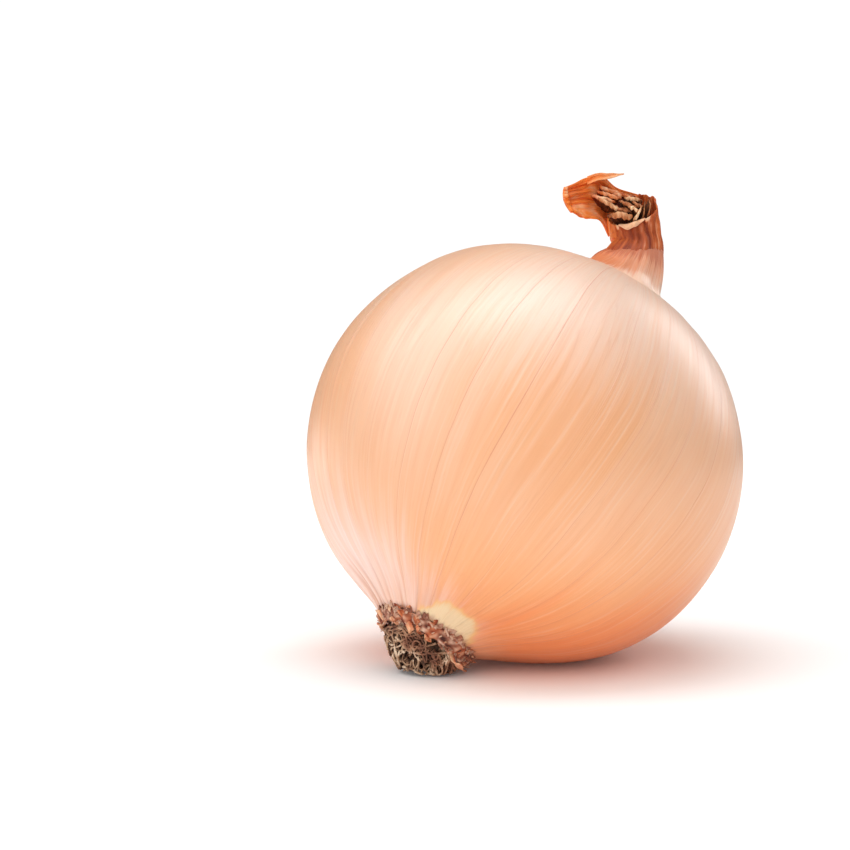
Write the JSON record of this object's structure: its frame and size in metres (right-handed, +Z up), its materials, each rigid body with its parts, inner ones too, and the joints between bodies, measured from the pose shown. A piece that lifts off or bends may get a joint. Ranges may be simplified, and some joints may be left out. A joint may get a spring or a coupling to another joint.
{
  "type": "onion",
  "caption": "Whole yellow onion in its dry papery skin, lying tilted on its side, with a matted tuft of dried roots at one end and a torn, dried neck at the other.",
  "frame": {"origin": "centre of the small flat spot on the underside that the onion rests on", "axes": "+Z up from the surface that it lies on; the root end points towards -X, -Y and down, the neck towards +X, +Y and up"},
  "size_m": [0.0799, 0.0802, 0.0888],
  "materials": {
    "skin": "smooth papery skin with a soft sheen",
    "dry_neck": "dry, pleated and translucent at the edges",
    "roots": "dry, matt and earthy",
    "torn_skin": "dry and brittle"
  },
  "bodies": {
    "root": {"bulb": "skin", "neck": "dry_neck", "root_tuft": "roots", "torn_skin": "torn_skin"}
  },
  "joints": []
}
